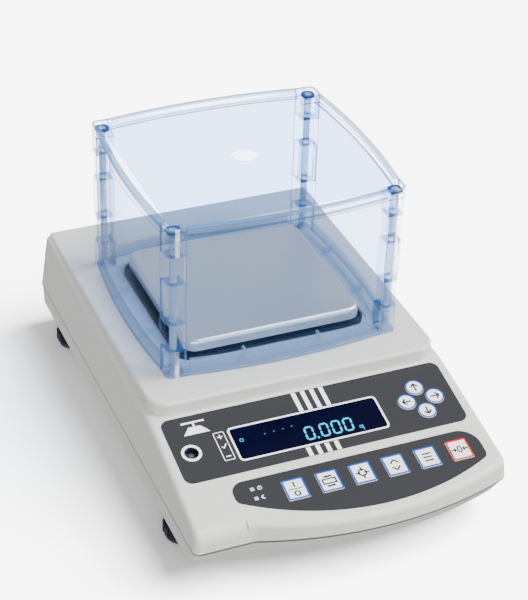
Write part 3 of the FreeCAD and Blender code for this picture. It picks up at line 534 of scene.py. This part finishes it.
def deck_row(name, body, finish, count, first, step, size):
    """Row of printed blocks on the film from the place first, step apart, with the given (x, s) size."""
    middle = FILM_TOP + PRINT_T / 2
    start = to_deck(*first, middle)
    second = to_deck(first[0] + step[0], first[1] + step[1], middle)
    values = {
        "Count": count, "Start": start, "Step": second - start,
        "Size": Vector((size[0], size[1], PRINT_T)) * MM,
        "Tilt": Vector((DECK_TILT, 0.0, 0.0)), "Finish": finish.material,
    }
    maker = bpy.data.objects.new(name + "_maker", bpy.data.meshes.new(name + "_maker"))
    bpy.context.scene.collection.objects.link(maker)
    modifier = maker.modifiers.new("row", "NODES")
    modifier.node_group = ROW
    for item in ROW.interface.items_tree:
        if item.in_out == "INPUT" and item.name in values:
            modifier[item.identifier] = values[item.name]
    bpy.context.view_layer.update()
    shown = maker.evaluated_get(bpy.context.evaluated_depsgraph_get())
    mesh = bpy.data.meshes.new_from_object(shown)
    bpy.data.objects.remove(maker)
    add_piece(name, mesh, body)


# ------------------------------------------------------------------ pieces on the display film

def window_outline():
    """White line round the display window."""
    line = framed(*WINDOW, 0.4, 0.9, (3.2, 2.2))
    printed("window_outline", "housing", INK_WHITE, rings=[line])


SEGMENTS = {"a": ((0, 0), (1, 0)), "b": ((1, 0), (1, 1)), "c": ((1, 1), (1, 2)), "d": ((0, 2), (1, 2)),
            "e": ((0, 1), (0, 2)), "f": ((0, 0), (0, 1))}


def segment(x, s, start, end, width, height, stroke, lean):
    """One pointed stroke of a numeral, between two corners of its 1 x 2 grid."""
    def corner(point):
        gx, gs = point
        return x + gx * width + (2 - gs) * height / 2 * lean, s + gs * height / 2

    (ax, ay), (bx, by) = corner(start), corner(end)
    length = math.hypot(bx - ax, by - ay)
    ux, uy = (bx - ax) / length, (by - ay) / length
    gap = 0.18 * stroke
    half = stroke / 2
    along = [gap, gap + half, length - gap - half, length - gap]
    points = [(along[0], 0), (along[1], half), (along[2], half), (along[3], 0),
              (along[2], -half), (along[1], -half)]
    return [(ax + ux * t - uy * w, ay + uy * t + ux * w) for t, w in points]


def numerals():
    """Lit reading: four noughts and a point, a unit mark, a steady mark and the faint scale."""
    width, height, stroke, lean = 5.3, 10.0, 1.3, 0.08
    starts = (-11.2, -0.6, 7.9, 16.3)
    top = 30.8
    prisms = [segment(x, top, *ends, width, height, stroke, lean)
              for x in starts for ends in SEGMENTS.values()]
    prisms.append(circle(*POINT_AT, 0.8, 16))
    printed("reading", "housing", DIGIT_GLOW, prisms=prisms)
    unit = (circle(*UNIT_AT, 1.3, 20), circle(*UNIT_AT, 0.6, 20))
    steady = (circle(*STEADY_AT, 1.5, 24), circle(*STEADY_AT, 0.9, 24))
    printed("unit_mark", "housing", DIM_GLOW, rings=[unit, steady],
            prisms=[bar((28.4, 38.6), (28.4, 42.9), 0.7)])
    deck_row("scale_dots", "housing", FAINT_GLOW, 4, (-36.7, 28.2), (6.45, -0.4), (1.1, 0.8))


def tolerance_marks():
    """Small framed column with plus, tick and minus."""
    x = TOLERANCE_X
    marks = [
        bar((x - 1.7, 22.6), (x + 1.7, 22.6), 0.8), bar((x, 20.9), (x, 24.3), 0.8),
        bar((x - 1.6, 30.6), (x - 0.4, 32.2), 0.7), bar((x - 0.4, 32.2), (x + 1.8, 28.8), 0.7),
        bar((x - 1.7, 39.2), (x + 1.7, 39.2), 0.8),
    ]
    line = framed(*TOLERANCE_BOX, 0.0, 0.5, (1.0, 0.6))
    printed("tolerance_marks", "housing", INK_WHITE, prisms=marks, rings=[line])


def plain_bars():
    """Two sets of plain light bars above and below the window."""
    deck_row("upper_bars", "housing", INK_WHITE, 4, (-6.0, 8.6), (6.6, 0.0), (3.0, 16.4))
    deck_row("lower_bars", "housing", INK_WHITE, 4, (-14.0, 50.2), (6.6, 0.0), (3.0, 7.4))


def balance_sign():
    """Plain sign of a pan on a column and foot, near the film's upper left corner."""
    x, s = SIGN_AT
    marks = [
        bar((x - 8.0, s - 4.6), (x + 8.0, s - 4.6), 1.4),
        bar((x, s - 4.0), (x, s - 0.6), 1.4),
        [(x - 4.0, s - 0.8), (x + 4.0, s - 0.8), (x + 9.0, s + 5.4), (x - 9.0, s + 5.4)],
    ]
    printed("balance_sign", "housing", INK_WHITE, prisms=marks)


def level_details():
    """Bubble, marking circle and rim of the level."""
    x, s = LEVEL_AT
    printed("level_rim", "housing", INK_CREAM,
            rings=[(circle(x, s, 5.55), circle(x, s, 4.75))], n0=LEVEL_RIM_N, thickness=LEVEL_RIM_T)
    printed("level_circle", "housing", INK_GREY,
            rings=[(circle(x, s, 2.9), circle(x, s, 2.6))], n0=LEVEL_FACE_N)
    printed("level_bubble", "housing", BUBBLE, prisms=[circle(x + 0.4, s - 0.5, 1.7)], n0=LEVEL_FACE_N)


# ------------------------------------------------------------------ keys

def key_icon(name, x, s):
    """Strokes and rings of one square key's sign."""
    if name == "on_off_key":
        ring = (circle(x, s + 3.7, 2.3), circle(x, s + 3.7, 1.2))
        return [bar((x, s - 5.6), (x, s - 1.4), 1.2), bar((x - 4.8, s), (x + 4.8, s), 0.7)], [ring]
    if name == "print_key":
        sheet = (rectangle(x - 4.9, x + 4.9, s - 2.2, s + 2.6, 0.6),
                 rectangle(x - 3.8, x + 3.8, s - 1.1, s + 1.5, 0.3))
        return [bar((x - 2.8, y), (x + 2.8, y), 1.4) for y in (s - 3.6, s + 4.0)], [sheet]
    if name == "adjust_key":
        ring = (circle(x, s, 3.1), circle(x, s, 2.0))
        return [bar((x + 1.4 * dx, s + 1.4 * ds), (x + 4.9 * dx, s + 4.9 * ds), 1.1)
                for dx, ds in ARROW_KEYS.values()], [ring]
    if name == "select_key":
        return [bar((x, s + 4.2 * i), (x + 2.8 * j, s + 1.4 * i), 1.2) for i in (-1, 1) for j in (-1, 1)], []
    if name == "function_key":
        return [bar((x - 3.2, s + d), (x + 3.2, s + d), 1.2) for d in (-2.8, 0.0, 2.8)], []
    nought = (rectangle(x - 1.7, x + 1.7, s - 2.8, s + 2.8, 1.6),
              rectangle(x - 0.7, x + 0.7, s - 1.8, s + 1.8, 0.6))
    return arrow(x - 4.2, s, 1, 0, 1.8, 1.0) + arrow(x + 4.2, s, -1, 0, 1.8, 1.0), [nought]


def square_keys():
    """Coloured line and sign on each square key."""
    for i, name in enumerate(SQUARE_KEYS):
        x, s = KEY_FIRST_X + i * KEY_PITCH, KEY_S
        w, h = KEY_W / 2, KEY_L / 2
        line = framed(x - w, x + w, s - h, s + h, -KEY_EDGE, KEY_EDGE + 1.2, (1.0, 0.4))
        colour = INK_RED if name == "tare_key" else INK_BLUE
        body = name + "_cap"
        printed(name + "_line", body, colour, rings=[line], n0=KEY_TOP)
        strokes, rings = key_icon(name, x, s)
        printed(name + "_sign", body, INK_GREY, prisms=strokes, rings=rings, n0=KEY_TOP)


def arrow_keys():
    """Blue line and arrow on each round key."""
    for name, (dx, ds) in ARROW_KEYS.items():
        x, s = ARROWS_AT[0] + dx * ARROW_STEP, ARROWS_AT[1] + ds * ARROW_STEP
        body = name + "_cap"
        printed(name + "_line", body, INK_BLUE, n0=KEY_TOP,
                rings=[(circle(x, s, ARROW_R - KEY_EDGE), circle(x, s, ARROW_R - KEY_EDGE - 1.0))])
        printed(name + "_sign", body, INK_GREY, prisms=arrow(x, s, dx, ds, 3.1, 1.25), n0=KEY_TOP)


def lamp_signs():
    """Small signs beside the two lamps: a ring with a stroke, and a crescent."""
    x, s = LAMP_X + 5.0, LAMP_S[0]
    printed("standby_sign", "housing", INK_WHITE, prisms=[bar((x, s - 1.7), (x, s), 0.5)],
            rings=[(circle(x, s + 0.1, 1.5), circle(x, s + 0.1, 1.1))])
    s = LAMP_S[1]
    turn = [math.radians(60 + 24 * i) for i in range(11)]
    outside = [(x + 1.5 * math.cos(t), s + 1.5 * math.sin(t)) for t in turn]
    inside = [(x + 0.7 + 1.25 * math.cos(t), s - 0.1 + 1.15 * math.sin(t)) for t in reversed(turn[1:-1])]
    printed("rest_sign", "housing", INK_WHITE, prisms=[outside + inside])


# ------------------------------------------------------------------ stage, lights, camera

def stage():
    """Pale floor that takes shadows but throws no light back on the object."""
    bpy.ops.mesh.primitive_plane_add(size=14.0, location=(0.0, 0.0, 0.0))
    floor = bpy.context.object
    floor.name = "pale_floor"
    f = Finish("pale_floor_finish").set(IOR=1.2)
    cloud = f.noise(2.0)
    f.vary("Base Color", f.blend(cloud, (0.93, 0.93, 0.93), (0.95, 0.95, 0.95)))
    f.vary("Roughness", cloud * 0.1 + 0.8)
    floor.data.materials.append(f.material)
    floor.visible_diffuse = False
    floor.visible_glossy = False
    return floor


def sun(name, source, strength, spread):
    """Even light from a direction, with a soft edge to its shadows."""
    data = bpy.data.lights.new(name, "SUN")
    data.energy = strength
    data.angle = math.radians(spread)
    light = bpy.data.objects.new(name, data)
    bpy.context.scene.collection.objects.link(light)
    light.rotation_euler = Vector(source).to_track_quat("Z", "Y").to_euler()
    return light


def studio(floor):
    """White surround, a soft key from the right, a weak front fill, and extra light on the floor."""
    world = bpy.data.worlds.new("white_surround")
    world.use_nodes = True
    background = world.node_tree.nodes["Background"]
    background.inputs["Color"].default_value = (1.0, 1.0, 1.0, 1.0)
    background.inputs["Strength"].default_value = SURROUND
    bpy.context.scene.world = world
    sun("key_light", (0.9, -0.2, 1.05), 7.0, 40.0)
    sun("front_fill", (-0.25, -1.0, 0.25), 2.9, 70.0)
    only_floor = bpy.data.collections.new("lit_floor")
    only_floor.objects.link(floor)
    backdrop = sun("floor_light", (0.75, -0.3, 1.1), 22.0, 52.0)
    backdrop.light_linking.receiver_collection = only_floor


def camera():
    """Camera at the view's angle: azimuth, height and a slight roll about its own axis."""
    turn, rise, roll = (math.radians(v) for v in VIEW_ANGLES)
    target = Vector(VIEW_TARGET) * MM
    back = Vector((math.sin(turn) * math.cos(rise), -math.cos(turn) * math.cos(rise), math.sin(rise)))
    right = (-back).cross(Vector((0, 0, 1))).normalized()
    up = right.cross(-back)
    right, up = (right * math.cos(roll) + up * math.sin(roll),
                 up * math.cos(roll) - right * math.sin(roll))
    data = bpy.data.cameras.new("view")
    data.lens = VIEW_LENS
    data.sensor_width = VIEW_SENSOR
    data.clip_end = 50.0
    view = bpy.data.objects.new("view", data)
    bpy.context.scene.collection.objects.link(view)
    place = Matrix((right, up, back)).transposed().to_4x4()
    place.translation = target + back * VIEW_DISTANCE * MM
    view.matrix_world = place
    bpy.context.scene.camera = view


dress_nodes()
window_outline()
numerals()
tolerance_marks()
plain_bars()
balance_sign()
level_details()
square_keys()
arrow_keys()
lamp_signs()
studio(stage())
camera()
